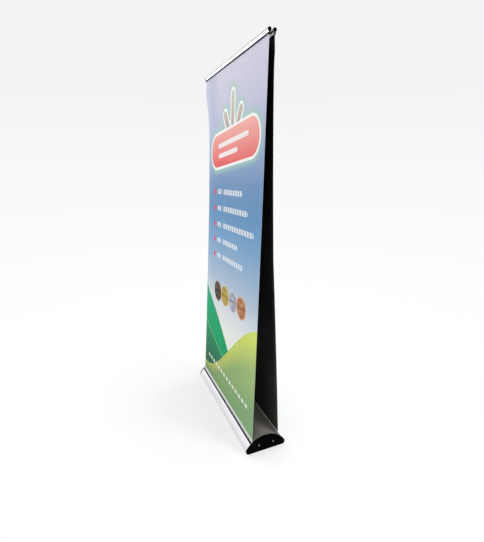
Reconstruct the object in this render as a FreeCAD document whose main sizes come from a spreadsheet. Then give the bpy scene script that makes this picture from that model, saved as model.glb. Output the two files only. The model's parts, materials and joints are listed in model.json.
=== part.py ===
import FreeCAD, Part
import math
import os

import Sketcher

# Double-sided roll-up banner stand: a D-shaped aluminium base with a graphic on a spring roller behind each
# of its two slots, a top rail on each graphic, and one sectional pole that holds both rails up in the middle.
# Millimetres. X runs along the base, -Y is the front and +Z is up.
# The origin is the middle of the footprint.

SIZES = {
    # graphic and its lean
    "graphic_width": 850,
    "film_thick": 0.4,
    "slot_across": 80,        # graphic to mid-plane, at the slot
    "slot_level": 66,
    "rail_across": 13,        # graphic to mid-plane, at the rail's lower edge
    "rail_level": 2029,       # height of the rail's lower edge
    "film_end_level": 6,      # lowest point of the film inside the base
    "film_grip": 11,          # film held inside the rail
    # base casing
    "casing_length": 852,
    "feet_thick": 1.6,
    "feet_radius": 11,
    "feet_along": 370,
    "feet_across": 86,
    "arch_radius": 137,
    "arch_top": 90.5,
    "corner_radius": 16,
    "wall": 2.2,
    "web_across": 38,         # chamber side of each inner web
    "slot_half": 3.3,
    "lip_width": 3.5,         # bead under the inner edge of a slot
    "lip_depth": 6,
    "rim_thick": 5.7,         # thicker outer edge of a slot, which holds the trim
    "rim_end": 96,
    "rim_slope": 4,
    "trim_across": 88.5,
    "trim_width": 4.4,
    "trim_bottom": 53.6,
    "trim_head": 7.8,         # width of the strip's head over the groove
    "trim_proud": 0.6,
    "trim_short": 0.4,
    "line_first": 27,         # lengthwise lines on the top of the casing
    "line_step": 6.5,
    "line_width": 1.0,
    "line_depth": 0.6,
    # ends of the base
    "plate_thick": 2,
    "cap_thick": 9,
    "cap_grow": 0.6,
    "cap_wall": 2.6,
    "cap_face": 3,
    "cap_round": 3,
    "screw_across": 43.5,
    "screw_level": 40.5,
    "port_radius": 4.2,
    "port_bore": 1.9,
    "screw_radius": 1.85,
    "screw_hole": 2.2,
    "screw_length": 24,
    "head_radius": 4,
    "head_thick": 1.8,
    "head_recess": 1.2,
    "boss_radius": 7,
    # spring rollers
    "roller_across": 66.5,
    "roller_level": 31,
    "tube_radius": 12.5,
    "tube_wall": 1.2,
    "roller_half": 423,
    "roll_radius": 14.3,
    "shaft_radius": 4,
    "shaft_gap": 0.05,
    "shaft_inner_end": 140,
    "plug_length": 24,
    "flange_thick": 1.5,
    "nut_radius": 7,
    "nut_thick": 3,
    "anchor_radius": 8,
    "anchor_length": 10,
    "spring_radius": 8.7,
    "spring_wire": 1.5,
    "spring_pitch": 6,
    "spring_length": 236,
    # top rails, across (from the film) and up (from the rail's lower edge)
    "rail_up": 26,
    "bulb_radius": 7.4,
    "bulb_wall": 1.5,
    "pivot_radius": 5.7,
    "pivot_wall": 1.4,
    "grip_gap": 0.35,
    "leaf_thick": 2,
    "clamp_short": 0.5,
    "rail_cap_thick": 2.9,
    "rail_cap_gap": 0.1,
    "rail_cap_grow": 0.5,
    "rail_cap_curve": 2,      # hollow where the neck meets the bulb
    "rail_cap_drop": 0.3,     # cap below the rail's lower edge
    "rail_cap_round": 0.7,
    "rail_cap_spigot": 12,
    "seal_up": 8.5,
    "seal_proud": 0.7,
    # pole
    "socket_radius": 15,
    "socket_floor": 46,
    "socket_flange": 21,
    "socket_top": 94,
    "socket_screw_along": 18,
    "socket_seat": 10,        # depth of the flange under the top of the arch
    "socket_round": 1.5,
    "small_hole": 1.6,
    "small_hole_depth": 12,
    "small_radius": 1.5,      # socket screws
    "small_length": 9,
    "small_head_radius": 2.6,
    "small_head_thick": 1.3,
    "small_slot": 0.7,
    "pole_start": 50.5,
    "lower_radius": 11,
    "middle_radius": 9.5,
    "upper_radius": 8,
    "pole_wall": 1.2,
    "lower_joint": 700,
    "upper_joint": 1370,
    "joint_seat": 4,
    "spigot_length": 35,
    "collar_length": 34,
    "collar_wall": 1.5,
    "pole_fit": 0.1,
    "foot_spigot": 22,
    "head_spigot": 28,
    "cord_radius": 2,
    "cord_hole": 4.3,
    "anchor_thick": 6,        # crimped end stops of the cord
    "pole_head_level": 2012,
    "saddle_level": 2026,
    "saddle_top": 2051,
    "saddle_half": 9.6,
    "saddle_along": 17,
    "saddle_gap": 0.25,
}

LINES = 7           # lengthwise lines on each side of the casing's top
SLOT_SHARE = 0.6    # depth of a driver slot as a share of its screw head
SHAFT_FIT = 0.02    # gap between a shaft and what is pressed on it
PAST = 5            # how far a cut runs past the face that it opens
TOUCH = 0.05        # gap between two pieces that bear on each other
BULB_OPEN_FROM = -89    # degrees round the bulb, over which it is open for the clamp
BULB_OPEN_TO = -22

SIDES = {"front": -1, "rear": 1}
ENDS = {"left": -1, "right": 1}


class Size:
    """A length made from the sheet's cells: its value now, and the expression that keeps it up to date."""

    def __init__(self, value, text):
        self.value = float(value)
        self.text = text

    def __add__(self, other):
        other = as_size(other)
        return Size(self.value + other.value, f"({self.text} + {other.text})")

    def __sub__(self, other):
        other = as_size(other)
        return Size(self.value - other.value, f"({self.text} - {other.text})")

    def __mul__(self, other):
        other = as_size(other)
        return Size(self.value * other.value, f"({self.text} * {other.text})")

    def __truediv__(self, other):
        other = as_size(other)
        return Size(self.value / other.value, f"({self.text} / {other.text})")

    def __radd__(self, other):
        return as_size(other) + self

    def __rsub__(self, other):
        return as_size(other) - self

    def __rmul__(self, other):
        return as_size(other) * self

    def __neg__(self):
        return Size(-self.value, f"(0 - {self.text})")


def as_size(number):
    return number if isinstance(number, Size) else Size(number, repr(float(number)))


def root(size):
    return Size(math.sqrt(size.value), f"sqrt({size.text})")


def cell(alias):
    return Size(SIZES[alias], "Sizes." + alias)


def make_sheet(doc):
    sheet = doc.addObject("Spreadsheet::Sheet", "Sizes")
    for row, (alias, number) in enumerate(SIZES.items(), start=1):
        sheet.set(f"A{row}", alias.replace("_", " "))
        sheet.set(f"B{row}", str(number))
        sheet.setAlias(f"B{row}", alias)
    doc.recompute()
    return sheet


doc = FreeCAD.newDocument("banner_stand")
make_sheet(doc)


# ---- shared tools ----------------------------------------------------------------------------------------

def bind(thing, prop, size):
    """Set a property from a Size and keep it tied to the sheet."""
    thing.setExpression(prop, as_size(size).text)


def new_body(name, x=0, y=0, z=0, turn_axis=None, turn=0):
    """A sub-part: a body with its own label and placement. The turn is about turn_axis, in degrees."""
    body = doc.addObject("PartDesign::Body", name)
    body.Label = name
    body.AllowCompound = True
    if turn_axis:
        rotation = FreeCAD.Rotation(FreeCAD.Vector(*turn_axis), turn)
        body.Placement = FreeCAD.Placement(FreeCAD.Vector(), rotation)
    for axis_name, place in (("x", x), ("y", y), ("z", z)):
        bind(body, "Placement.Base." + axis_name, place)
    return body


def new_sketch(body, plane, offset=0):
    """A sketch on one of the body's own origin planes, moved along that plane's normal by offset."""
    sketch = body.newObject("Sketcher::SketchObject", body.Label + "_sketch")
    origin_plane = [item for item in body.Origin.OriginFeatures if item.Role == plane][0]
    sketch.AttachmentSupport = [(origin_plane, "")]
    sketch.MapMode = "FlatFace"
    bind(sketch, "AttachmentOffset.Base.z", offset)
    return sketch


def tie(sketch, kind, geometry, size):
    number = sketch.addConstraint(Sketcher.Constraint(kind, *geometry, as_size(size).value))
    sketch.setExpression(f"Constraints[{number}]", as_size(size).text)


def arc_middle(start, end, radius):
    """Middle point of the arc under half a circle from start to end; a radius above 0 turns left."""
    chord = end - start
    half = chord.Length / 2
    rise = abs(radius) - math.sqrt(max(radius * radius - half * half, 0))
    outward = FreeCAD.Vector(chord.y, -chord.x, 0).normalize()
    return (start + end) / 2 + outward * math.copysign(rise, radius)


def outline(sketch, corners, flip=1):
    """A closed outline. Each corner is (across, up) for a straight edge to the next corner, or
    (across, up, radius) for an arc to it: above 0 turns left, below 0 turns right. flip=-1 mirrors it."""
    corners = [tuple(as_size(value) for value in corner) for corner in corners]
    points = [FreeCAD.Vector(flip * corner[0].value, corner[1].value, 0) for corner in corners]
    edges = []
    for index, corner in enumerate(corners):
        start = points[index]
        end = points[(index + 1) % len(points)]
        if len(corner) == 2:
            edge = sketch.addGeometry(Part.LineSegment(start, end), False)
            edges.append((edge, 1, 2))
            continue
        radius = flip * corner[2].value
        middle = arc_middle(start, end, radius)
        if radius > 0:
            edge = sketch.addGeometry(Part.Arc(start, middle, end), False)
            edges.append((edge, 1, 2))
        else:
            edge = sketch.addGeometry(Part.Arc(end, middle, start), False)
            edges.append((edge, 2, 1))
    for index, corner in enumerate(corners):
        edge, first, last = edges[index]
        after, after_first, after_last = edges[(index + 1) % len(edges)]
        sketch.addConstraint(Sketcher.Constraint("Coincident", edge, last, after, after_first))
        tie(sketch, "DistanceX", (-1, 1, edge, first), flip * corner[0])
        tie(sketch, "DistanceY", (-1, 1, edge, first), corner[1])
        if len(corner) == 3:
            size = corner[2] if corner[2].value > 0 else -corner[2]
            tie(sketch, "Radius", (edge,), size)


def circle(sketch, across, up, radius):
    across, up, radius = as_size(across), as_size(up), as_size(radius)
    centre = FreeCAD.Vector(across.value, up.value, 0)
    edge = sketch.addGeometry(Part.Circle(centre, FreeCAD.Vector(0, 0, 1), radius.value), False)
    tie(sketch, "DistanceX", (-1, 1, edge, 3), across)
    tie(sketch, "DistanceY", (-1, 1, edge, 3), up)
    tie(sketch, "Radius", (edge,), radius)


def rectangle(sketch, low_across, high_across, low_up, high_up):
    corners = [(low_across, low_up), (high_across, low_up),
               (high_across, high_up), (low_across, high_up)]
    outline(sketch, corners)


def pad(body, sketch, length, both_ways=False):
    feature = body.newObject("PartDesign::Pad", body.Label + "_pad")
    feature.Profile = sketch
    if both_ways:
        feature.SideType = "Symmetric"
    bind(feature, "Length", length)
    return feature


def pocket(body, sketch, length=None, reverse=False):
    """Cut by a length against the sketch's normal, or with reverse along it; no length cuts right through."""
    feature = body.newObject("PartDesign::Pocket", body.Label + "_pocket")
    feature.Profile = sketch
    feature.Reversed = reverse
    if length is None:
        feature.Type = "ThroughAll"
        feature.SideType = "Symmetric"
    else:
        bind(feature, "Length", length)
    return feature


def turned(body, plane, corners):
    """A solid of revolution. Corners are (along, out) about X on XY_Plane,
    or (out, up) about Z on XZ_Plane."""
    sketch = new_sketch(body, plane)
    outline(sketch, corners)
    feature = body.newObject("PartDesign::Revolution", body.Label + "_turn")
    feature.Profile = sketch
    feature.ReferenceAxis = (sketch, ["H_Axis" if plane == "XY_Plane" else "V_Axis"])
    feature.Angle = 360
    return feature


def round_edges(body, radius, wanted):
    """Fillet the edges of the solid so far whose every vertex passes the test."""
    doc.recompute()
    base = body.Tip
    names = []
    for number, edge in enumerate(base.Shape.Edges, start=1):
        if all(wanted(vertex.Point) for vertex in edge.Vertexes):
            names.append(f"Edge{number}")
    feature = body.newObject("PartDesign::Fillet", body.Label + "_fillet")
    feature.Base = (base, names)
    bind(feature, "Radius", radius)
    return feature


# ---- sizes that follow from the sheet --------------------------------------------------------------------

LEAN_RUN = cell("slot_across") - cell("rail_across")
LEAN_RISE = cell("rail_level") - cell("slot_level")
LEAN_LENGTH = root(LEAN_RUN * LEAN_RUN + LEAN_RISE * LEAN_RISE)
LEAN_SIN = LEAN_RUN / LEAN_LENGTH
LEAN_COS = LEAN_RISE / LEAN_LENGTH
LEAN_DEGREES = math.degrees(math.atan2(LEAN_RUN.value, LEAN_RISE.value))

ARCH_CENTRE = cell("arch_top") - cell("arch_radius")
CASING_HALF = cell("casing_length") / 2
CORNER_UP = cell("feet_thick") + cell("corner_radius")
CORNER_REACH = cell("arch_radius") - cell("corner_radius")
CORNER_DROP = CORNER_UP - ARCH_CENTRE
CORNER_ACROSS = root(CORNER_REACH * CORNER_REACH - CORNER_DROP * CORNER_DROP)

BULB_UP = cell("rail_up") - cell("bulb_radius")
BULB_ACROSS = cell("rail_across") - BULB_UP * LEAN_SIN
BULB_LEVEL = cell("rail_level") + BULB_UP * LEAN_COS


def arch_height(across, inset=0):
    """Height of the casing's arch, or of the arc set in under it, at a distance from the mid-plane."""
    radius = cell("arch_radius") - inset
    across = as_size(across)
    return ARCH_CENTRE + root(radius * radius - across * across)


def d_outline(grow):
    """The base's D-shaped outline, moved outward by grow: flat underneath, with round corners and an arch."""
    bottom = cell("feet_thick") - grow
    corner = cell("corner_radius") + grow
    arch = cell("arch_radius") + grow
    share = arch / CORNER_REACH
    join_across = CORNER_ACROSS * share
    join_up = ARCH_CENTRE + CORNER_DROP * share
    return [
        (-CORNER_ACROSS, bottom),
        (CORNER_ACROSS, bottom, corner),
        (join_across, join_up, arch),
        (-join_across, join_up, corner),
    ]


# ---- base ------------------------------------------------------------------------------------------------

def chamber_outline():
    """One roller chamber with its slot up through the arch, on the +across side."""
    floor = cell("feet_thick") + cell("wall")
    inner_edge = cell("slot_across") - cell("slot_half")
    outer_edge = cell("slot_across") + cell("slot_half")
    bead = inner_edge - cell("lip_width")
    bead_up = arch_height(inner_edge) - cell("lip_depth")
    above = cell("arch_top") + PAST
    inset = cell("wall")
    rim = cell("rim_thick")
    rim_foot = cell("rim_end") - cell("rim_slope")
    share = (cell("arch_radius") - inset) / CORNER_REACH
    return [
        (inner_edge, above),
        (inner_edge, bead_up),
        (bead, bead_up),
        (bead, arch_height(bead, inset), cell("arch_radius") - inset),
        (cell("web_across"), arch_height(cell("web_across"), inset)),
        (cell("web_across"), floor),
        (CORNER_ACROSS, floor, cell("corner_radius") - inset),
        (CORNER_ACROSS * share, ARCH_CENTRE + CORNER_DROP * share, cell("arch_radius") - inset),
        (cell("rim_end"), arch_height(cell("rim_end"), inset)),
        (rim_foot, arch_height(rim_foot, rim), cell("arch_radius") - rim),
        (outer_edge, arch_height(outer_edge, rim)),
        (outer_edge, above),
    ]


def core_outline():
    """The closed box between the two inner webs."""
    half = cell("web_across") - cell("wall")
    floor = cell("feet_thick") + cell("wall")
    top = arch_height(half, cell("wall"))
    return [(-half, floor), (half, floor), (half, top, cell("arch_radius") - cell("wall")), (-half, top)]


def casing():
    body = new_body("casing")
    sketch = new_sketch(body, "YZ_Plane")
    outline(sketch, d_outline(0))
    pad(body, sketch, cell("casing_length"), both_ways=True)

    sketch = new_sketch(body, "YZ_Plane")
    for side in SIDES.values():
        outline(sketch, chamber_outline(), flip=side)
    outline(sketch, core_outline())
    pocket(body, sketch)

    # screw ports, each a ring on a short rib from its web
    sketch = new_sketch(body, "YZ_Plane")
    for side in SIDES.values():
        circle(sketch, side * cell("screw_across"), cell("screw_level"), cell("port_radius"))
    pad(body, sketch, cell("casing_length"), both_ways=True)
    sketch = new_sketch(body, "YZ_Plane")
    rib_half = cell("wall")
    for side in SIDES.values():
        rib = [(cell("web_across") - 0.5, cell("screw_level") - rib_half),
               (cell("screw_across") - 2, cell("screw_level") - rib_half),
               (cell("screw_across") - 2, cell("screw_level") + rib_half),
               (cell("web_across") - 0.5, cell("screw_level") + rib_half)]
        outline(sketch, rib, flip=side)
    pad(body, sketch, cell("casing_length"), both_ways=True)
    sketch = new_sketch(body, "YZ_Plane")
    for side in SIDES.values():
        circle(sketch, side * cell("screw_across"), cell("screw_level"), cell("port_bore"))
    pocket(body, sketch)

    # trim grooves and the fine lengthwise lines of the extrusion's top
    sketch = new_sketch(body, "YZ_Plane")
    half = cell("trim_width") / 2
    for side in SIDES.values():
        low = cell("trim_across") - half
        high = cell("trim_across") + half
        groove = [(low, cell("trim_bottom")), (high, cell("trim_bottom")),
                  (high, cell("arch_top")), (low, cell("arch_top"))]
        outline(sketch, groove, flip=side)
        for count in range(LINES):
            middle = cell("line_first") + count * cell("line_step")
            low = middle - cell("line_width") / 2
            high = middle + cell("line_width") / 2
            bottom = arch_height(middle) - cell("line_depth")
            line = [(low, bottom), (high, bottom), (high, bottom + PAST), (low, bottom + PAST)]
            outline(sketch, line, flip=side)
    pocket(body, sketch)

    # hole and screw holes for the pole socket, in the top only
    sketch = new_sketch(body, "XY_Plane", cell("arch_top") + PAST)
    circle(sketch, 0, 0, cell("socket_radius") + cell("pole_fit"))
    for along in (-1, 1):
        circle(sketch, along * cell("socket_screw_along"), 0, cell("small_hole"))
    pocket(body, sketch, cell("socket_seat") * 2)


def end_plate(name, end):
    body = new_body(name, x=end * CASING_HALF, turn_axis=(0, 0, 1), turn=90 - 90 * end)
    sketch = new_sketch(body, "YZ_Plane")
    outline(sketch, d_outline(0))
    for side in SIDES.values():
        circle(sketch, side * cell("screw_across"), cell("screw_level"), cell("screw_hole"))
        shaft_hole = cell("shaft_radius") + cell("shaft_gap")
        circle(sketch, side * cell("roller_across"), cell("roller_level"), shaft_hole)
    pad(body, sketch, cell("plate_thick"))


def end_cap(name, end):
    """A hollow moulded cap: its face is outward, and two bosses inside take the screws."""
    place = CASING_HALF + cell("plate_thick")
    thick = cell("cap_thick")
    body = new_body(name, x=end * place, turn_axis=(0, 0, 1), turn=90 - 90 * end)
    sketch = new_sketch(body, "YZ_Plane")
    outline(sketch, d_outline(cell("cap_grow")))
    pad(body, sketch, thick)
    round_edges(body, cell("cap_round"), lambda point: abs(point.x - thick.value) < 0.01)

    depth = thick - cell("cap_face")
    sketch = new_sketch(body, "YZ_Plane")
    outline(sketch, d_outline(cell("cap_grow") - cell("cap_wall")))
    pocket(body, sketch, depth, reverse=True)
    sketch = new_sketch(body, "YZ_Plane")
    for side in SIDES.values():
        circle(sketch, side * cell("screw_across"), cell("screw_level"), cell("boss_radius"))
    pad(body, sketch, depth + 0.5)

    sketch = new_sketch(body, "YZ_Plane")
    for side in SIDES.values():
        circle(sketch, side * cell("screw_across"), cell("screw_level"), cell("screw_hole"))
    pocket(body, sketch)
    sketch = new_sketch(body, "YZ_Plane", thick)
    for side in SIDES.values():
        circle(sketch, side * cell("screw_across"), cell("screw_level"), cell("head_radius") + 0.4)
    pocket(body, sketch, cell("head_recess"))


def cap_screws(name, end):
    """The two self-tapping screws of one end, pan heads with a cross recess."""
    place = CASING_HALF + cell("plate_thick") + cell("cap_thick") - cell("head_recess")
    body = new_body(name, x=end * place, turn_axis=(0, 0, 1), turn=90 - 90 * end)
    sketch = new_sketch(body, "YZ_Plane")
    for side in SIDES.values():
        circle(sketch, side * cell("screw_across"), cell("screw_level"), cell("head_radius"))
    pad(body, sketch, cell("head_thick"))
    round_edges(body, cell("head_thick") * 0.6, lambda point: abs(point.x - cell("head_thick").value) < 0.01)
    sketch = new_sketch(body, "YZ_Plane", -cell("screw_length"))
    for side in SIDES.values():
        circle(sketch, side * cell("screw_across"), cell("screw_level"), cell("screw_radius"))
    pad(body, sketch, cell("screw_length") + 0.1)
    slot_long = cell("head_radius") * 0.55
    slot_thin = cell("head_radius") * 0.14
    for half_across, half_up in ((slot_long, slot_thin), (slot_thin, slot_long)):
        sketch = new_sketch(body, "YZ_Plane", cell("head_thick") + 1)
        for side in SIDES.values():
            middle = side * cell("screw_across")
            rectangle(sketch, middle - half_across, middle + half_across,
                      cell("screw_level") - half_up, cell("screw_level") + half_up)
        pocket(body, sketch, cell("head_thick") * SLOT_SHARE + 1)


def rubber_feet():
    body = new_body("rubber_feet")
    sketch = new_sketch(body, "XY_Plane")
    for along in (-1, 0, 1):
        for side in SIDES.values():
            circle(sketch, along * cell("feet_along"), side * cell("feet_across"), cell("feet_radius"))
    pad(body, sketch, cell("feet_thick"))


def trim_strip(name, side):
    """Black strip with a stem pressed into the groove beside a slot and a flat head over it."""
    body = new_body(name)
    sketch = new_sketch(body, "YZ_Plane")
    half = cell("trim_width") / 2 - TOUCH
    low = cell("trim_across") - half
    high = cell("trim_across") + half
    head_low = cell("trim_across") - cell("trim_head") / 2
    head_high = cell("trim_across") + cell("trim_head") / 2
    bottom = cell("trim_bottom") + TOUCH
    seat = 2 * TOUCH
    corners = [(low, bottom), (high, bottom), (high, arch_height(high) + seat),
               (head_high, arch_height(head_high) + seat),
               (head_high, arch_height(head_high) + cell("trim_proud")),
               (head_low, arch_height(head_low) + cell("trim_proud")),
               (head_low, arch_height(head_low) + seat), (low, arch_height(low) + seat)]
    outline(sketch, corners, flip=side)
    pad(body, sketch, cell("casing_length") - cell("trim_short"), both_ways=True)


def pole_socket():
    """Flanged sleeve in the top of the casing; its foot stands on the casing's floor."""
    body = new_body("pole_socket")
    under = cell("arch_top") - cell("socket_seat")
    sketch = new_sketch(body, "XY_Plane", under)
    circle(sketch, 0, 0, cell("socket_flange"))
    pad(body, sketch, cell("socket_top") - under)
    round_edges(body, cell("socket_round"), lambda point: abs(point.z - cell("socket_top").value) < 0.01)
    sketch = new_sketch(body, "YZ_Plane")
    wide = cell("socket_flange") + PAST
    arch = cell("arch_radius") + TOUCH
    brow = ARCH_CENTRE + root(arch * arch - wide * wide)
    outline(sketch, [(-wide, under - PAST), (wide, under - PAST), (wide, brow, arch), (-wide, brow)])
    pocket(body, sketch)
    floor = cell("feet_thick") + cell("wall") + 2 * TOUCH
    sketch = new_sketch(body, "XY_Plane", floor)
    circle(sketch, 0, 0, cell("socket_radius"))
    pad(body, sketch, cell("arch_top") + 1 - floor)
    sketch = new_sketch(body, "XY_Plane", cell("socket_top"))
    circle(sketch, 0, 0, cell("lower_radius") + cell("pole_fit"))
    pocket(body, sketch, cell("socket_top") - cell("socket_floor"))
    sketch = new_sketch(body, "XY_Plane", cell("socket_top"))
    for along in (-1, 1):
        circle(sketch, along * cell("socket_screw_along"), 0, cell("small_hole"))
    pocket(body, sketch, cell("small_hole_depth"))


def socket_screws():
    body = new_body("socket_screws", z=cell("socket_top"))
    shank, head = cell("small_length"), cell("small_head_thick")
    for level, radius, length in ((0 - shank, cell("small_radius"), shank + 2 * TOUCH),
                                  (0, cell("small_head_radius"), head)):
        sketch = new_sketch(body, "XY_Plane", level)
        for along in (-1, 1):
            circle(sketch, along * cell("socket_screw_along"), 0, radius)
        pad(body, sketch, length)
    sketch = new_sketch(body, "XY_Plane", head + PAST)
    half = cell("small_slot") / 2
    for along in (-1, 1):
        middle = along * cell("socket_screw_along")
        rectangle(sketch, middle - cell("small_hole"), middle + cell("small_hole"), 0 - half, half)
    pocket(body, sketch, PAST + head * SLOT_SHARE)


# ---- spring rollers --------------------------------------------------------------------------------------

def roller_body(name, side, x=0):
    return new_body(name, x=x, y=side * cell("roller_across"), z=cell("roller_level"))


def tube_along(name, side, inner, outer, half_length):
    body = roller_body(name, side)
    sketch = new_sketch(body, "YZ_Plane")
    circle(sketch, 0, 0, outer)
    circle(sketch, 0, 0, inner)
    pad(body, sketch, 2 * as_size(half_length), both_ways=True)


def roller_plug(name, side, end):
    """Plastic plug in one end of the roller tube, turning on a fixed shaft."""
    inside = cell("tube_radius") - cell("tube_wall") - TOUCH
    bore = cell("shaft_radius") + cell("shaft_gap")
    face = cell("roller_half")
    body = roller_body(name, side)
    corners = [(end * (face - cell("plug_length")), bore), (end * (face + cell("flange_thick")), bore),
               (end * (face + cell("flange_thick")), cell("tube_radius")),
               (end * (face + TOUCH), cell("tube_radius")), (end * (face + TOUCH), inside),
               (end * (face - cell("plug_length")), inside)]
    turned(body, "XY_Plane", corners)


def idler_pin(name, side):
    """Headed pin fixed in the left end plate."""
    body = roller_body(name, side, x=-(CASING_HALF + cell("plate_thick")))
    length = cell("plate_thick") + 3 + cell("plug_length") - 2
    head = cell("nut_thick")
    corners = [(-head, 0), (length, 0), (length, cell("shaft_radius")), (0, cell("shaft_radius")),
               (0, cell("nut_radius")), (-head, cell("nut_radius"))]
    turned(body, "XY_Plane", corners)


def spring_shaft(name, side):
    """Fixed shaft that the spring winds on, held in the right end plate."""
    outer = CASING_HALF + cell("plate_thick") + cell("nut_thick") + 1
    body = roller_body(name, side, x=cell("shaft_inner_end"))
    length = outer - cell("shaft_inner_end")
    turned(body, "XY_Plane", [(0, 0), (length, 0), (length, cell("shaft_radius")), (0, cell("shaft_radius"))])


def shaft_nut(name, side):
    """Hexagon nut that locks the shaft against the right end plate."""
    body = roller_body(name, side, x=CASING_HALF + cell("plate_thick") + TOUCH)
    sketch = new_sketch(body, "YZ_Plane")
    corners = []
    for number in range(6):
        angle = math.radians(60 * number)
        corners.append((cell("nut_radius") * math.cos(angle), cell("nut_radius") * math.sin(angle)))
    outline(sketch, corners)
    circle(sketch, 0, 0, cell("shaft_radius") + SHAFT_FIT)
    pad(body, sketch, cell("nut_thick"))


def spring_anchor(name, side):
    """Collar on the shaft's inner end, which holds the still end of the spring."""
    body = roller_body(name, side, x=cell("shaft_inner_end"))
    bore = cell("shaft_radius") + SHAFT_FIT
    corners = [(0, bore), (cell("anchor_length"), bore), (cell("anchor_length"), cell("anchor_radius")),
               (0, cell("anchor_radius"))]
    turned(body, "XY_Plane", corners)


def torsion_spring(name, side):
    """Long coil of square wire round the shaft, between the anchor collar and the drive plug."""
    start = cell("shaft_inner_end") + cell("anchor_length") + 1 + cell("spring_wire") / 2
    body = new_body(name, x=start, y=side * cell("roller_across"), z=cell("roller_level"),
                    turn_axis=(0, 1, 0), turn=90)
    sketch = new_sketch(body, "XZ_Plane")
    half = cell("spring_wire") / 2
    rectangle(sketch, cell("spring_radius") - half, cell("spring_radius") + half, -half, half)
    coil = body.newObject("PartDesign::AdditiveHelix", name + "_coil")
    coil.Profile = sketch
    coil.ReferenceAxis = (sketch, ["V_Axis"])
    coil.Mode = "pitch-height-angle"
    bind(coil, "Pitch", cell("spring_pitch"))
    bind(coil, "Height", cell("spring_length"))


# ---- top rails and graphics ------------------------------------------------------------------------------

def rail_frame(name, side, x=0):
    """A body whose own Y-Z axes lie across and along one graphic, from the rail's lower edge."""
    return new_body(name, x=x, y=side * cell("rail_across"), z=cell("rail_level"),
                    turn_axis=(side, 0, 0), turn=LEAN_DEGREES)


def on_circle(radius, degrees):
    """Point of a circle round the bulb's centre; 0 degrees is outward and 90 is up."""
    angle = math.radians(degrees)
    return radius * math.cos(angle), BULB_UP + radius * math.sin(angle)


def rail_back(name, side):
    """Inner half of the rail: a leaf behind the film, and an open tube that holds the clamp's pivot."""
    outer = cell("bulb_radius")
    inner = outer - cell("bulb_wall")
    near = -cell("grip_gap")
    far = near - cell("leaf_thick")
    leaf_top = BULB_UP - root(outer * outer - far * far)
    corners = [
        (far, 0),
        (near, 0),
        (near, BULB_UP - root(outer * outer - near * near), outer),
        (*on_circle(outer, BULB_OPEN_FROM),),
        (*on_circle(inner, BULB_OPEN_FROM), -inner),
        (*on_circle(inner, -180), -inner),
        (*on_circle(inner, 90), -inner),
        (*on_circle(inner, BULB_OPEN_TO),),
        (*on_circle(outer, BULB_OPEN_TO), outer),
        (*on_circle(outer, 90), outer),
        (*on_circle(outer, -180), outer),
        (far, leaf_top),
    ]
    body = rail_frame(name, side)
    sketch = new_sketch(body, "YZ_Plane")
    outline(sketch, corners, flip=side)
    pad(body, sketch, cell("graphic_width"), both_ways=True)


def rail_clamp(name, side):
    """Outer half of the rail: a leaf over the film that swings on a hollow pivot inside the bulb."""
    radius = cell("pivot_radius")
    near = cell("grip_gap")
    far = near + cell("leaf_thick")
    step = near + cell("leaf_thick") / 2
    seal = cell("seal_up")
    corners = [
        (near, 0),
        (step, 0),
        (step, seal),
        (far, seal),
        (far, BULB_UP - root(radius * radius - far * far), radius),
        (*on_circle(radius, 45), radius),
        (*on_circle(radius, -180), radius),
        (near, BULB_UP - root(radius * radius - near * near)),
    ]
    body = rail_frame(name, side)
    sketch = new_sketch(body, "YZ_Plane")
    outline(sketch, corners, flip=side)
    circle(sketch, 0, BULB_UP, radius - cell("pivot_wall"))
    pad(body, sketch, cell("graphic_width") - 2 * cell("clamp_short"), both_ways=True)


def clamp_seal(name, side):
    """Black grip strip along the clamp's lower edge."""
    low = cell("grip_gap") + cell("leaf_thick") / 2 + TOUCH
    high = cell("grip_gap") + cell("leaf_thick") + cell("seal_proud")
    up = cell("seal_up") - TOUCH
    body = rail_frame(name, side)
    sketch = new_sketch(body, "YZ_Plane")
    outline(sketch, [(low, 0), (high, 0), (high, up), (low, up)], flip=side)
    pad(body, sketch, cell("graphic_width") - 2 * cell("clamp_short"), both_ways=True)


def rail_cap(name, side, end):
    """Keyhole-shaped plastic cap over one end of a rail, with a spigot that the pivot turns on."""
    inner_face = cell("graphic_width") / 2 + cell("rail_cap_gap")
    radius = cell("bulb_radius") + cell("rail_cap_grow")
    half = cell("grip_gap") + cell("leaf_thick") + cell("rail_cap_grow")
    body = rail_frame(name, side, x=end * inner_face)
    sketch = new_sketch(body, "YZ_Plane")
    curve = cell("rail_cap_curve")
    curve_drop = root((radius + curve) * (radius + curve) - (half + curve) * (half + curve))
    share = radius / (radius + curve)
    neck_top = BULB_UP - curve_drop
    join_across = (half + curve) * share
    join_up = BULB_UP - curve_drop * share
    corners = [
        (-half, -cell("rail_cap_drop")),
        (half, -cell("rail_cap_drop")),
        (half, neck_top, -curve),
        (join_across, join_up, radius),
        (radius, BULB_UP, radius),
        (0, BULB_UP + radius, radius),
        (-radius, BULB_UP, radius),
        (-join_across, join_up, -curve),
        (-half, neck_top),
    ]
    outline(sketch, corners)
    plate = pad(body, sketch, cell("rail_cap_thick"))
    plate.Reversed = end < 0
    outer = end * cell("rail_cap_thick").value
    round_edges(body, cell("rail_cap_round"), lambda point: abs(point.x - outer) < 0.01)
    sketch = new_sketch(body, "YZ_Plane")
    circle(sketch, 0, BULB_UP, cell("pivot_radius") - cell("pivot_wall") - cell("rail_cap_gap"))
    spigot = pad(body, sketch, cell("rail_cap_spigot"))
    spigot.Reversed = end > 0


def graphic(name, side):
    """The film from inside its rail, down through the slot and past the roll, in one flat plane."""
    drop = (cell("rail_level") - cell("film_end_level")) / LEAN_COS
    half = cell("film_thick") / 2
    body = rail_frame(name, side)
    sketch = new_sketch(body, "YZ_Plane")
    rectangle(sketch, -half, half, -drop, cell("film_grip"))
    pad(body, sketch, cell("graphic_width"), both_ways=True)


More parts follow.
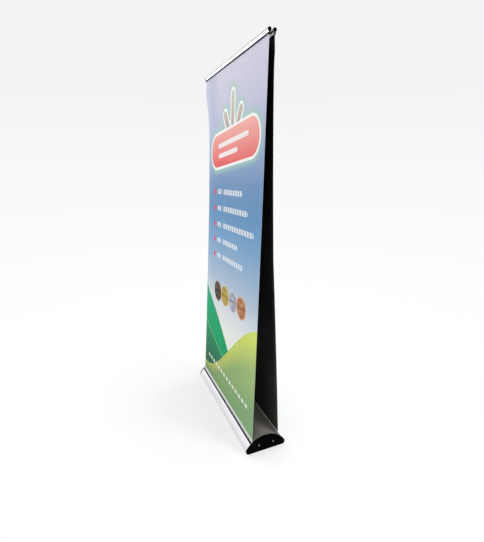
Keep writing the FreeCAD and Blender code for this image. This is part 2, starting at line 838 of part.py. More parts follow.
# ---- pole ------------------------------------------------------------------------------------------------

def pole_tube(name, radius, start, stop):
    body = new_body(name, z=start)
    inner = radius - cell("pole_wall")
    length = stop - start
    turned(body, "XZ_Plane", [(inner, 0), (radius, 0), (radius, length), (inner, length)])


def ferrule(name, joint, below, above):
    """Collar between two tubes: a spigot in the tube below and a seat for the tube above."""
    fit = cell("pole_fit")
    spigot = below - cell("pole_wall") - fit
    seat = above + fit
    collar = below + cell("collar_wall")
    hole = cell("cord_hole")
    body = new_body(name, z=joint)
    corners = [
        (hole, -cell("spigot_length")),
        (spigot, -cell("spigot_length")),
        (spigot, 0),
        (collar, 0),
        (collar, cell("collar_length")),
        (seat, cell("collar_length")),
        (seat, cell("joint_seat")),
        (hole, cell("joint_seat")),
    ]
    turned(body, "XZ_Plane", corners)


def pole_foot_plug():
    """Plug in the bottom of the pole, which stands on the socket's floor and holds the cord."""
    flange = cell("lower_radius") - 0.2
    spigot = cell("lower_radius") - cell("pole_wall") - cell("pole_fit")
    gap = 6 * TOUCH
    base = cell("pole_start") - cell("socket_floor") - gap
    top = base + cell("foot_spigot")
    body = new_body("pole_foot_plug", z=cell("socket_floor") + gap)
    corners = [(0, 0), (flange, 0), (flange, base - TOUCH), (spigot, base - TOUCH), (spigot, top),
               (cell("cord_hole"), top), (cell("cord_hole"), base), (0, base)]
    turned(body, "XZ_Plane", corners)


def pole_head():
    """Double saddle: each rail's bulb sits on one side of it, and a tongue stands between the two."""
    body = new_body("pole_head")
    sketch = new_sketch(body, "XY_Plane", cell("saddle_level"))
    along = cell("saddle_along")
    half = cell("saddle_half")
    rectangle(sketch, -along, along, -half, half)
    pad(body, sketch, cell("saddle_top") - cell("saddle_level"))
    saddle = cell("bulb_radius") + cell("saddle_gap")
    sketch = new_sketch(body, "YZ_Plane")
    for side in SIDES.values():
        circle(sketch, side * BULB_ACROSS, BULB_LEVEL, saddle)
    pocket(body, sketch)
    sketch = new_sketch(body, "YZ_Plane")
    for side in SIDES.values():
        tongue = BULB_ACROSS - saddle
        beyond = 2 * saddle + PAST
        corners = [(tongue, BULB_LEVEL), (tongue + beyond, BULB_LEVEL),
                   (tongue + beyond, BULB_LEVEL + beyond), (tongue, BULB_LEVEL + beyond)]
        outline(sketch, corners, flip=side)
    pocket(body, sketch)
    round_edges(body, cell("socket_round"), lambda point: abs(point.z - cell("saddle_top").value) < 0.01)

    neck = cell("upper_radius") + 1
    spigot = cell("upper_radius") - cell("pole_wall") - cell("pole_fit")
    shoulder = cell("pole_head_level")
    for low, high, radius in ((shoulder + TOUCH, cell("saddle_level") + 2, neck),
                              (shoulder - cell("head_spigot"), shoulder + 1, spigot)):
        sketch = new_sketch(body, "XY_Plane", low)
        circle(sketch, 0, 0, radius)
        pad(body, sketch, high - low)
    sketch = new_sketch(body, "XY_Plane", cell("pole_head_level") - cell("head_spigot"))
    circle(sketch, 0, 0, cell("cord_hole"))
    pocket(body, sketch, 24, reverse=True)


def shock_cord():
    """Elastic cord stretched through the three tubes, between its two anchors."""
    start = cell("pole_start") + 8
    stop = cell("pole_head_level") - 14
    body = new_body("shock_cord", z=start)
    sketch = new_sketch(body, "XY_Plane")
    circle(sketch, 0, 0, cell("cord_radius"))
    pad(body, sketch, stop - start)


def cord_anchors():
    """Crimped end stops of the cord, one in the foot plug and one in the pole head."""
    body = new_body("cord_anchors")
    reach = cell("cord_hole") - 0.2
    for low in (cell("pole_start") + 1.9, cell("pole_head_level") - 13.9):
        sketch = new_sketch(body, "XY_Plane", low)
        circle(sketch, 0, 0, reach)
        pad(body, sketch, cell("anchor_thick"))


# ---- the whole stand -------------------------------------------------------------------------------------

casing()
for end_name, end in ENDS.items():
    end_plate(end_name + "_end_plate", end)
    end_cap(end_name + "_end_cap", end)
    cap_screws(end_name + "_cap_screws", end)
rubber_feet()
pole_socket()
socket_screws()

for side_name, side in SIDES.items():
    trim_strip(side_name + "_trim_strip", side)
    inner = cell("tube_radius") - cell("tube_wall")
    tube_along(side_name + "_roller_tube", side, inner, cell("tube_radius"), cell("roller_half"))
    tube_along(side_name + "_graphic_roll", side, cell("tube_radius") + 0.05, cell("roll_radius"),
               cell("graphic_width") / 2)
    roller_plug(side_name + "_idler_plug", side, -1)
    roller_plug(side_name + "_drive_plug", side, 1)
    idler_pin(side_name + "_idler_pin", side)
    spring_shaft(side_name + "_spring_shaft", side)
    shaft_nut(side_name + "_shaft_nut", side)
    spring_anchor(side_name + "_spring_anchor", side)
    torsion_spring(side_name + "_torsion_spring", side)
    rail_back(side_name + "_rail_back", side)
    rail_clamp(side_name + "_rail_clamp", side)
    clamp_seal(side_name + "_clamp_seal", side)
    for end_name, end in ENDS.items():
        rail_cap(f"{side_name}_rail_{end_name}_cap", side, end)
    graphic(side_name + "_graphic", side)

lower_seat = cell("lower_joint") + cell("joint_seat")
upper_seat = cell("upper_joint") + cell("joint_seat")
pole_tube("lower_pole_tube", cell("lower_radius"), cell("pole_start"), cell("lower_joint"))
pole_tube("middle_pole_tube", cell("middle_radius"), lower_seat, cell("upper_joint"))
pole_tube("upper_pole_tube", cell("upper_radius"), upper_seat, cell("pole_head_level"))
ferrule("lower_ferrule", cell("lower_joint"), cell("lower_radius"), cell("middle_radius"))
ferrule("upper_ferrule", cell("upper_joint"), cell("middle_radius"), cell("upper_radius"))
pole_foot_plug()
pole_head()
shock_cord()
cord_anchors()

doc.recompute()


def check_and_export():
    """Stop on any failed feature or bad shape, then write one STEP file for each sub-part."""
    for thing in doc.Objects:
        if "Invalid" in thing.State or "Error" in thing.State:
            raise RuntimeError(f"{thing.Label} failed: {thing.State}")
    bodies = [thing for thing in doc.Objects if thing.TypeId == "PartDesign::Body"]
    for body in bodies:
        if body.Shape.isNull() or not body.Shape.isValid() or body.Shape.Volume <= 0:
            raise RuntimeError(f"{body.Label} has no valid shape")
    os.makedirs("parts", exist_ok=True)
    for body in bodies:
        body.Shape.exportStep(f"parts/{body.Label}.step")
        box = body.Shape.BoundBox
        print(f"{body.Label:24s} solids {len(body.Shape.Solids)}  volume {body.Shape.Volume:12.1f}  "
              f"x {box.XMin:8.2f} {box.XMax:8.2f}  y {box.YMin:8.2f} {box.YMax:8.2f}  "
              f"z {box.ZMin:8.2f} {box.ZMax:8.2f}")


check_and_export()
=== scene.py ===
"""A double-sided roll-up banner stand: films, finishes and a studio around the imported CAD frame."""

import json
import math

import bpy
from mathutils import Matrix, Vector


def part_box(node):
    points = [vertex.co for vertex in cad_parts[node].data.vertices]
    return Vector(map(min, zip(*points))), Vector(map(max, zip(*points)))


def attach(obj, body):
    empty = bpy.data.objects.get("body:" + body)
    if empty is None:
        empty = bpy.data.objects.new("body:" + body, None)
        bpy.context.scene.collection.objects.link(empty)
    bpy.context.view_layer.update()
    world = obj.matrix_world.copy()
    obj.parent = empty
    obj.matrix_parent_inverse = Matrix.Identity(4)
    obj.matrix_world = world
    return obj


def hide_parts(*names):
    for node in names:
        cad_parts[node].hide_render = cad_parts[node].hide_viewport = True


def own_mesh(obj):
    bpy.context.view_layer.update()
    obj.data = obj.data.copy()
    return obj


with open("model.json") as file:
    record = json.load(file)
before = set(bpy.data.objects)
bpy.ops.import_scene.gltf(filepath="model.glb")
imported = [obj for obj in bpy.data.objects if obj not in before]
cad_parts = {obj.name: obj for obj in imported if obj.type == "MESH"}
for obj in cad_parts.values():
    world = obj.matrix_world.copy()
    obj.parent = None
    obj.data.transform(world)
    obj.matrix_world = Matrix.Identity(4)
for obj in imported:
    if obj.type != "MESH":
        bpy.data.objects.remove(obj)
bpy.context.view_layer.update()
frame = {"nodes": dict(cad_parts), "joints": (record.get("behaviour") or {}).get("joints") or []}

SIDES = ("front", "rear")
OUTWARD = {"front": -1, "rear": 1}      # which way along Y each printed face looks


# ---------------------------------------------------------------- places, from the frame, in metres

FILM_THICK = 0.0004
LEADER_THICK = 0.0001
LEADER_GAP = 0.00009        # between the roll, the leader and the film
LEADER_TOP = 0.084          # where the leader ends, just above the slot
LEADER_WRAP = math.radians(215)
SLOT_LEVEL = 0.066          # where the film leaves the base
SLOT_ACROSS = 0.0833        # from the middle of the base to the outer edge of a slot
CASING_TOP_FROM = 0.050     # the casing's top between the slots is all above this
RAIL_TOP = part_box("front_rail_back")[1][2]
RAIL_SHADE_DEPTH = 0.0076          # how far down from its top a rail is matt and painted grey as shade

film_width = 2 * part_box("front_graphic")[1][0]


class FilmPlace:
    """Where one film runs: the plane it hangs in, from its foot in the base to its head in the rail."""

    def __init__(self, side):
        low, high = (Vector(corner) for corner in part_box(f"{side}_graphic"))
        sign = OUTWARD[side]
        half = FILM_THICK / 2
        far = high.y if sign > 0 else low.y
        near = low.y if sign > 0 else high.y
        self.side = side
        self.sign = sign
        self.foot = Vector((0, far - sign * half, low.z))
        self.head = Vector((0, near + sign * half, high.z))
        self.length = (self.head - self.foot).length
        self.up = (self.head - self.foot).normalized()
        self.out = Vector((0, sign * self.up.z, -sign * self.up.y))
        self.below = (SLOT_LEVEL - low.z) / self.up.z       # length of film under the slot
        self.shown = self.length - self.below

    def at(self, x, along, out=0.0):
        """The point that lies along metres up the film from its foot."""
        return Vector((x, 0, 0)) + self.foot + self.up * along + self.out * out


# ---------------------------------------------------------------- the films

EDGE_BAND = 0.15        # how far in from a side edge the film bows


class Bow:
    """How a film's side edge bows into the stand: by how much, and at what shares of its height."""

    def __init__(self, depth, fullest, growth, onset, start):
        self.depth = depth          # metres, inward
        self.fullest = fullest      # share of the height at which it has grown to its full depth
        self.growth = growth        # power it grows by from the slot: below 1 is early, above 1 is late
        self.onset = onset          # share of the height, under the rail, over which it starts
        self.start = start          # power it starts by under the rail

    def at(self, share):
        """The bow at a share of the height, 0 at the slot and 1 at the rail."""
        grown = min(1, max(0, share - FLAT_UNTIL) / self.fullest) ** self.growth
        under_rail = min(1, max(0, RAIL_HOLDS - share) / self.onset)
        return self.depth * grown * math.sin(under_rail * math.pi / 2) ** self.start


FLAT_UNTIL = 0.012      # share of the height under which the leader keeps the film flat
RAIL_HOLDS = 0.96       # share of the height above which the rail does
BOWS = {
    "front": {-1: Bow(0.023, 0.62, 0.8, 0.15, 0.9), 1: Bow(0.0003, 0.6, 1.0, 0.4, 1.0)},
    "rear": {-1: Bow(0.016, 0.45, 1.2, 0.4, 0.8), 1: Bow(0.0155, 0.50, 1.6, 0.5, 0.55)},
}
RIPPLE = 0.0006         # the faint waves of a film under light tension
RIPPLE_LENGTH = 0.34
RIPPLE_SLANT = 2.5      # how far the waves shift, in radians, from the slot to the rail
HOLLOW = 2.4            # how many ripples hollow the film is, so that it stays inside its leader
FILM_GRID = (72, 150)   # faces across and along a film
LEADER_GRID = (4, 48)


def film_offset(side, x, share):
    """How far the film lies inside its plane at x, at a share of its height."""
    inward = 0.0
    for edge, bow in BOWS[side].items():
        from_edge = (film_width / 2 - edge * x) / EDGE_BAND
        if from_edge < 1:
            inward += bow.at(share) * (1 - from_edge) ** 2
    middle = 4 * max(0, share - FLAT_UNTIL) * max(0, 1 - share)
    wave = math.sin(2 * math.pi * x / RIPPLE_LENGTH + RIPPLE_SLANT * share)
    return inward + RIPPLE * middle * (HOLLOW + wave)


def thin_sheet(name, grid, thick, centre, outward, paints):
    """A closed thin sheet. For u and v from 0 to 1, centre(u, v) gives its middle surface and
    outward(u, v) its printed side. paints are for the printed face, the back and the cut edge."""
    columns, rows = grid
    points = []
    shares = []
    for half in (thick / 2, -thick / 2):
        for row in range(rows + 1):
            for column in range(columns + 1):
                u, v = column / columns, row / rows
                points.append(centre(u, v) + outward(u, v) * half)
                shares.append((u, v))
    back = (rows + 1) * (columns + 1)

    def index(column, row):
        return row * (columns + 1) + column

    faces = []
    kinds = []
    for row in range(rows):
        for column in range(columns):
            corners = [index(column, row), index(column + 1, row)]
            corners += [index(column + 1, row + 1), index(column, row + 1)]
            faces.append(corners)
            kinds.append(0)
            faces.append([back + corner for corner in reversed(corners)])
            kinds.append(1)
    rim = [index(column, 0) for column in range(columns)]
    rim += [index(columns, row) for row in range(rows)]
    rim += [index(column, rows) for column in range(columns, 0, -1)]
    rim += [index(0, row) for row in range(rows, 0, -1)]
    for here, following in zip(rim, rim[1:] + rim[:1]):
        faces.append([following, here, back + here, back + following])
        kinds.append(2)

    mesh = bpy.data.meshes.new(name)
    mesh.from_pydata(points, [], faces)
    for paint in paints:
        mesh.materials.append(paint)
    flat_map = mesh.uv_layers.new(name="flat")
    for face, kind in zip(mesh.polygons, kinds):
        face.material_index = kind
        face.use_smooth = True
        for loop in face.loop_indices:
            flat_map.data[loop].uv = shares[mesh.loops[loop].vertex_index]
    turn_out(mesh, outward(0.5, 0.5))
    sharpen_between_materials(mesh)
    piece = bpy.data.objects.new(name, mesh)
    bpy.context.scene.collection.objects.link(piece)
    return piece


def turn_out(mesh, outward):
    """Flips every face if the printed face was wound the other way."""
    mesh.update()
    facing = sum(face.normal.dot(outward) for face in mesh.polygons if face.material_index == 0)
    if facing < 0:
        mesh.flip_normals()


def sharpen_between_materials(mesh):
    """Marks the edges where two materials meet as sharp, so that smooth shading stops there."""
    kinds = {}
    for face in mesh.polygons:
        for key in face.edge_keys:
            kinds.setdefault(key, set()).add(face.material_index)
    for edge in mesh.edges:
        edge.use_edge_sharp = len(kinds[tuple(sorted(edge.vertices))]) > 1


def make_film(place, paints):
    """The printed film, from its foot in the base to its head in the rail."""
    def centre(u, v):
        x = -place.sign * (u - 0.5) * film_width
        along = v * place.length
        share = (along - place.below) / place.shown
        return place.at(x, along, -film_offset(place.side, x, share))

    def outward(u, v):
        return place.out

    film = thin_sheet(f"{place.side}_film", FILM_GRID, FILM_THICK, centre, outward, paints)
    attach(film, f"{place.side}_rail")
    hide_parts(f"{place.side}_graphic")
    slide = next(j for j in frame["joints"] if j["name"] == f"{place.side}_rail_slide")
    travel = -slide["range_m"][0]
    1 - travel / place.length
    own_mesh(film)
    return film


def make_leader(place, paints):
    """The thin blank leader that is wound on the roller and comes up inside the film."""
    low, high = (Vector(corner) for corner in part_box(f"{place.side}_graphic_roll"))
    axis = (low + high) / 2
    radius = (high.z - low.z) / 2 + LEADER_GAP
    arc = radius * LEADER_WRAP
    leaves = Vector((0, axis.y, axis.z)) + place.out * radius
    straight = (LEADER_TOP - leaves.z) / place.up.z
    length = arc + straight

    def spot(v):
        """The middle of the leader and its outer side, v of the way along it."""
        run = v * length
        if run >= arc:
            return leaves + place.up * (run - arc), place.out
        back = (arc - run) / radius
        side = place.out * math.cos(back) - place.up * math.sin(back)
        return Vector((0, axis.y, axis.z)) + side * radius, side

    def centre(u, v):
        return Vector((-place.sign * (u - 0.5) * film_width, 0, 0)) + spot(v)[0]

    def outward(u, v):
        return spot(v)[1]

    leader = thin_sheet(f"{place.side}_leader", LEADER_GRID, LEADER_THICK, centre, outward, paints)
    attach(leader, "base")
    return leader


# ---------------------------------------------------------------- building node materials

def screen(red, green, blue):
    """A colour given as it looks on a screen, 0 to 255, as the linear colour that shaders take."""
    linear = []
    for level in (red, green, blue):
        share = level / 255
        linear.append(share / 12.92 if share <= 0.04045 else ((share + 0.055) / 1.055) ** 2.4)
    return (*linear, 1.0)


BLACK = screen(0, 0, 0)


class Field:
    """A number that varies over a surface: a node's output, with the arithmetic that Math nodes do."""

    def __init__(self, paint, socket):
        self.paint = paint
        self.socket = socket

    def math(self, operation, other=0.0, third=0.0):
        return self.paint.math(operation, self, other, third)

    def __add__(self, other):
        return self.math("ADD", other)

    def __sub__(self, other):
        return self.math("SUBTRACT", other)

    def __rsub__(self, other):
        return self.paint.math("SUBTRACT", other, self)

    def __mul__(self, other):
        return self.math("MULTIPLY", other)

    def __truediv__(self, other):
        return self.math("DIVIDE", other)

    def size(self):
        return self.math("ABSOLUTE")

    def least(self, other):
        return self.math("MINIMUM", other)

    def most(self, other):
        return self.math("MAXIMUM", other)

    def root(self):
        return self.math("SQRT")

    def wave(self):
        return self.math("SINE")

    def ramp(self, low, high, to_low=0.0, to_high=1.0, smooth=False):
        """to_low at low and below, to_high at high and above, and even or smooth between them."""
        node = self.paint.node("ShaderNodeMapRange")
        node.interpolation_type = "SMOOTHSTEP" if smooth else "LINEAR"
        for socket, value in zip(node.inputs, (self, low, high, to_low, to_high)):
            self.paint.wire(value, socket)
        return Field(self.paint, node.outputs[0])

    def inside(self, soft):
        """1 where this distance is below zero and 0 outside, over an edge that is soft metres wide."""
        return self.ramp(soft / 2, -soft / 2)


class Paint:
    """A node material being built: a Principled shader and the fields that feed it."""

    def __init__(self, name, **constants):
        self.material = bpy.data.materials.new(name)
        self.material.use_nodes = True
        self.tree = self.material.node_tree
        self.shader = self.tree.nodes["Principled BSDF"]
        for socket, value in constants.items():
            self.shader.inputs[socket.replace("_", " ")].default_value = value

    def node(self, kind, **settings):
        made = self.tree.nodes.new(kind)
        for setting, value in settings.items():
            setattr(made, setting, value)
        return made

    def wire(self, value, socket):
        """Feeds a socket from a field, a node's output, or a plain number or colour."""
        if isinstance(value, Field):
            value = value.socket
        if isinstance(value, bpy.types.NodeSocket):
            self.tree.links.new(value, socket)
        else:
            socket.default_value = value

    def math(self, operation, *values):
        made = self.node("ShaderNodeMath", operation=operation)
        for value, socket in zip(values, made.inputs):
            self.wire(value, socket)
        return Field(self, made.outputs[0])

    def split(self, vector):
        made = self.node("ShaderNodeSeparateXYZ")
        self.wire(vector, made.inputs[0])
        return [Field(self, output) for output in made.outputs]

    def place(self):
        """The point on the piece, in metres, in the row frame at rest."""
        return self.node("ShaderNodeTexCoord").outputs["Object"]

    def stretched(self, scale):
        """The point on the piece with each axis scaled, for textures with a direction."""
        made = self.node("ShaderNodeVectorMath", operation="MULTIPLY")
        self.wire(self.place(), made.inputs[0])
        self.wire(scale, made.inputs[1])
        return made.outputs[0]

    def noise(self, scale, detail=2.0, roughness=0.5):
        """Soft noise from 0 to 1. scale is its blots in a metre, one number or one for each axis."""
        made = self.node("ShaderNodeTexNoise")
        scales = scale if isinstance(scale, tuple) else (scale, scale, scale)
        self.wire(self.stretched(scales), made.inputs["Vector"])
        self.wire(1.0, made.inputs["Scale"])
        self.wire(detail, made.inputs["Detail"])
        self.wire(roughness, made.inputs["Roughness"])
        return Field(self, made.outputs["Fac"])

    def cells(self, scale):
        """Many scattered points: a node that gives the distance to the nearest and a colour for each."""
        made = self.node("ShaderNodeTexVoronoi")
        self.wire(self.place(), made.inputs["Vector"])
        self.wire(scale, made.inputs["Scale"])
        return made

    def edges(self, radius):
        """1 on the piece's sharp edges and 0 on its faces, from a rounded and a plain normal."""
        rounded = self.node("ShaderNodeBevel", samples=4)
        self.wire(radius, rounded.inputs["Radius"])
        plain = self.node("ShaderNodeNewGeometry")
        together = self.node("ShaderNodeVectorMath", operation="DOT_PRODUCT")
        self.wire(rounded.outputs[0], together.inputs[0])
        self.wire(plain.outputs["Normal"], together.inputs[1])
        return Field(self, together.outputs["Value"]).ramp(0.995, 0.85)

    def blend(self, share, low, high):
        """The colour low where share is 0 and high where it is 1."""
        made = self.node("ShaderNodeMix", data_type="RGBA")
        self.wire(share, made.inputs[0])
        self.wire(low, made.inputs[6])
        self.wire(high, made.inputs[7])
        return made.outputs[2]

    def bands(self, share, stops):
        """A run of colours along share: stops are (share, colour)."""
        made = self.node("ShaderNodeValToRGB")
        self.wire(share, made.inputs[0])
        run = made.color_ramp.elements
        while len(run) < len(stops):
            run.new(1.0)
        for element, (where, colour) in zip(run, stops):
            element.position = where
            element.color = colour
        return made.outputs[0]

    def bump(self, height, depth, strength=1.0):
        """Raises the surface by depth metres where height is 1."""
        made = self.node("ShaderNodeBump")
        self.wire(strength, made.inputs["Strength"])
        self.wire(depth, made.inputs["Distance"])
        self.wire(height, made.inputs["Height"])
        self.wire(made.outputs[0], self.shader.inputs["Normal"])

    def finish(self, colour=None, roughness=None):
        if colour is not None:
            self.wire(colour, self.shader.inputs["Base Color"])
        if roughness is not None:
            self.wire(roughness, self.shader.inputs["Roughness"])
        return self.material


# ---------------------------------------------------------------- metals, plastics and rubber

def extruded(name, along, dark, light, rough, wear, dulled_and_shaded=None, dull_and_shade_colour=None):
    """Anodised aluminium drawn through a die: faint lines along one axis, a fine grain and
    brighter edges. The last two arguments, if given, mark where it is matt and give its colour
    there; along a rail's top that grey is painted shade."""
    paint = Paint(name, Metallic=1.0)
    line_scale = tuple(2.5 if axis == along else 620.0 for axis in "XYZ")
    cloud_scale = tuple(3.0 if axis == along else 14.0 for axis in "XYZ")
    lines = paint.noise(line_scale, detail=3.0, roughness=0.6)
    grain = paint.noise(2400.0, detail=1.0)
    cloud = paint.noise(cloud_scale, detail=3.0)
    tone = (lines * 0.55 + grain * 0.2 + cloud * 0.25).ramp(0.35, 0.65)
    body = paint.blend(tone, dark, light)
    edge_wear_and_highlight = paint.edges(0.0008) * wear
    colour = paint.blend(edge_wear_and_highlight, body, screen(250, 250, 250))
    roughness = (lines * 0.16 + grain * 0.06 + cloud * 0.12) + (rough - 0.17)
    if dulled_and_shaded:
        # along a rail's top this matt grey is painted shade
        matt = dulled_and_shaded(paint)
        streaked = paint.blend(tone * 0.25, dull_and_shade_colour, BLACK)
        colour = paint.blend(matt, colour, streaked)
        roughness = roughness + matt * 0.25
        paint.wire(1.0 - matt * 0.85, paint.shader.inputs["Metallic"])
    paint.bump(lines * 0.7 + grain * 0.3, 0.00004, 0.6)
    return paint.finish(colour, roughness)


def between_the_films(paint):
    """1 on the top of the casing as far as its two slots, and 0 on the rest."""
    _, y, z = paint.split(paint.place())
    inside_the_slots = y.size().ramp(SLOT_ACROSS, SLOT_ACROSS - 0.0005)
    return inside_the_slots * z.ramp(CASING_TOP_FROM, CASING_TOP_FROM + 0.002)


def painted_shade_on_rail_top(paint):
    """1 along the top of a rail, where its grey is painted shade, and 0 below it."""
    z = paint.split(paint.place())[2]
    return z.ramp(RAIL_TOP - RAIL_SHADE_DEPTH - 0.0008, RAIL_TOP - RAIL_SHADE_DEPTH)


def plated_steel(name, dark, light, rough):
    """Zinc-plated steel: a spangle of faint crystals with a slight blue and straw tint."""
    paint = Paint(name, Metallic=1.0)
    crystals = paint.cells(420.0)
    spangle = paint.split(crystals.outputs["Color"])[0]
    cloud = paint.noise(35.0, detail=4.0)
    body = paint.blend(spangle * 0.6 + cloud * 0.4, dark, light)
    straw = paint.blend(cloud.ramp(0.5, 0.75, 0, 0.35), body, screen(206, 196, 164))
    worn = paint.blend(paint.edges(0.0004) * 0.6, straw, screen(236, 236, 238))
    paint.bump(spangle * 0.4 + cloud * 0.6, 0.00005, 0.5)
    return paint.finish(worn, spangle * 0.12 + cloud * 0.16 + (rough - 0.14))


def moulded(name, dark, light, rough, gloss, wear, wear_colour):
    """Moulded plastic: a leather-fine grain, a little haze, small scuffs and polished edges."""
    paint = Paint(name, Specular_IOR_Level=gloss)
    grain = Field(paint, paint.cells(950.0).outputs["Distance"])
    haze = paint.noise(22.0, detail=4.0)
    scuffs = paint.noise((60.0, 340.0, 900.0), detail=2.0).ramp(0.66, 0.76)
    body = paint.blend(haze.ramp(0.3, 0.7), dark, light)
    scuffed = paint.blend(scuffs * 0.25, body, wear_colour)
    worn = paint.blend(paint.edges(0.0006) * wear, scuffed, wear_colour)
    paint.bump(grain, 0.0001, 0.8)
    return paint.finish(worn, haze * 0.14 + scuffs * 0.12 + (rough - 0.07))


def rubber(name):
    """Black rubber with a matt bloom and dust caught in its grain."""
    paint = Paint(name, Specular_IOR_Level=0.06)
    grain = paint.noise(700.0, detail=3.0)
    bloom = paint.noise(40.0, detail=4.0)
    dust = grain.ramp(0.58, 0.74) * bloom.ramp(0.4, 0.7)
    body = paint.blend(bloom, screen(34, 34, 48), screen(54, 53, 72))
    paint.bump(grain, 0.00012, 0.8)
    return paint.finish(paint.blend(dust * 0.2, body, screen(100, 97, 92)), grain * 0.2 + 0.68)


def painted_plate(name):
    """A steel plate in a satin olive-grey coat, with orange peel and bare metal at its edges."""
    paint = Paint(name, Metallic=0.35)
    peel = paint.noise(850.0, detail=1.0)
    cloud = paint.noise(26.0, detail=4.0)
    body = paint.blend(cloud.ramp(0.3, 0.7), screen(104, 104, 94), screen(134, 133, 122))
    worn = paint.blend(paint.edges(0.0005) * 0.55, body, screen(196, 196, 190))
    paint.bump(peel, 0.00008, 0.7)
    return paint.finish(worn, cloud * 0.16 + peel * 0.08 + 0.3)


def braided(name):
    """The cord's braided cover: two sets of strands that cross, one in four of them light."""
    paint = Paint(name, Specular_IOR_Level=0.3)
    x, y, z = paint.split(paint.place())
    around = paint.math("ARCTAN2", y, x)
    one = (around * 6.0 + z * 1400.0).wave()
    other = (around * 6.0 - z * 1400.0).wave()
    strands = one.most(other).ramp(0.2, 1.0)
    tracer = (around * 1.5 + z * 350.0).wave().ramp(0.55, 0.75)
    body = paint.blend(strands, screen(20, 20, 22), screen(62, 62, 66))
    paint.bump(strands, 0.0002, 0.9)
    return paint.finish(paint.blend(tracer * strands, body, screen(206, 206, 202)), strands * 0.2 + 0.6)


def wound_film(name, axes):
    """The rolled film: turns that show as rings at its ends, and a blank satin outside.
    axes are the (y, z) of the rollers."""
    paint = Paint(name, Specular_IOR_Level=0.45)
    x, y, z = paint.split(paint.place())
    radius = None
    for axis_y, axis_z in axes:
        across, rise = y - axis_y, z - axis_z
        from_axis = (across * across + rise * rise).root()
        radius = from_axis if radius is None else radius.least(from_axis)
    turns = (radius * (2 * math.pi / FILM_THICK)).wave().ramp(-0.4, 0.6)
    at_end = (x.size() - (film_width / 2 - 0.0006)).ramp(0, 0.0004)
    haze = paint.noise((4.0, 60.0, 60.0), detail=4.0)
    ends = paint.blend(turns, screen(38, 38, 40), screen(196, 196, 198))
    outside = paint.blend(haze.ramp(0.3, 0.7), screen(212, 214, 216), screen(232, 233, 234))
    paint.bump(turns * at_end * 0.7 + haze * 0.3, 0.00008, 0.6)
    return paint.finish(paint.blend(at_end, outside, ends), haze * 0.16 + at_end * 0.15 + 0.3)


# ---------------------------------------------------------------- the films' faces

def flat_place(paint, length, below):
    """Metres across the film as it is read, and metres above the slot."""
    flat = paint.node("ShaderNodeUVMap", uv_map="flat").outputs[0]
    across, along, _ = paint.split(flat)
    return across * film_width, along * length - below


def capsule(across, height, centre, half_length, radius, tilt=0.0):
    """Distance from a bar with round ends."""
    dx, dy = across - centre[0], height - centre[1]
    run = dx * math.cos(tilt) + dy * math.sin(tilt)
    rise = dy * math.cos(tilt) - dx * math.sin(tilt)
    past = (run.size() - half_length).most(0.0)
    return (past * past + rise * rise).root() - radius


def disc(across, height, centre, radius):
    """Distance from a disc."""
    dx, dy = across - centre[0], height - centre[1]
    return (dx * dx + dy * dy).root() - radius


SKY = (
    (0.45, screen(236, 239, 232)),
    (0.62, screen(216, 223, 229)),
    (0.76, screen(180, 197, 214)),
    (0.88, screen(157, 184, 211)),
    (1.04, screen(126, 167, 205)),
    (1.20, screen(108, 152, 194)),
    (1.36, screen(119, 152, 191)),
    (1.55, screen(160, 176, 208)),
    (1.76, screen(200, 201, 222)),
    (1.94, screen(212, 209, 226)),
)
SKY_TOP = 2.0
BADGE_AT = (0.46, 1.562)
BADGE_HALF = 0.245
BADGE_RADIUS = 0.090
BADGE_LEAN = math.radians(5)
OUTLINE = 0.014         # width of the badge's white outline
PETALS = ((-34, 0.062), (0, 0.088), (34, 0.062))        # degrees from upright, and half the length
PETAL_FROM = 0.075      # where a petal starts, from the badge's middle
PETAL_RADIUS = 0.021
STROKES = ((-0.20, 0.20, -0.026), (-0.20, 0.06, 0.030))     # start, end and drop from the badge's middle
STROKE_RADIUS = 0.0125
LINES = ((1.313, 0.606), (1.216, 0.677), (1.117, 0.753), (1.020, 0.551), (0.924, 0.636))
LINE_START = 0.245      # LINES are the height and the end of each row of marks
MARK_PITCH = 0.034
WORD_GAP = 0.319        # where each row has a gap
DOT_AT = 0.192
MEDALLION_AT = (0.262, 0.688)
MEDALLION_STEP = (0.127, 0.004)
MEDALLION_RADIUS = 0.066
MEDALLIONS = (
    (screen(52, 40, 52), screen(150, 128, 88)),
    (screen(158, 134, 62), screen(226, 204, 130)),
    (screen(140, 142, 156), screen(216, 218, 224)),
    (screen(152, 100, 66), screen(230, 176, 134)),
)
WHITE = screen(246, 247, 246)
PRINT_EDGE = 0.0016     # how soft a printed edge is
INK_DEPTH = 0.115       # how far the whole print falls short of pure white
PRINT_FOOT = 0.013      # the print starts this far above the slot, over a blank margin


def printed_face(name, length, below):
    """The print: a sky over a green hill, with an abstract badge, rows of marks and medallions, and painted
    shade inside the left edge high up.
    """
    paint = Paint(name, Specular_IOR_Level=0.02)
    across, height = flat_place(paint, length, below)
    colour = paint.bands(height / SKY_TOP, [(at / SKY_TOP, tint) for at, tint in SKY])
    # painted shade: a bluish band inside the left edge, high up, where the bowed film turns from the light
    curl_shade_band = (across - 0.12).size().ramp(0.15, 0.0, smooth=True)
    painted_curl_shade = curl_shade_band * height.ramp(1.25, 1.75, smooth=True)
    colour = paint.blend(painted_curl_shade * 0.6, colour, screen(172, 184, 208))
    colour = paint_badge(paint, colour, across, height)
    colour = paint_bars(paint, colour, across, height)
    colour = paint_medallions(paint, colour, across, height)
    colour = paint_hill(paint, colour, across, height)
    colour = paint.blend((height - PRINT_FOOT).inside(PRINT_EDGE), colour, screen(236, 238, 234))
    colour = paint.blend(INK_DEPTH, colour, BLACK)
    haze = paint.noise((7.0, 7.0, 2.2), detail=3.0)
    ink = paint.noise(1500.0, detail=1.0)
    paint.bump(haze * 0.85 + ink * 0.15, 0.0006, 0.25)
    return paint.finish(colour, haze * 0.12 + ink * 0.05 + 0.36)


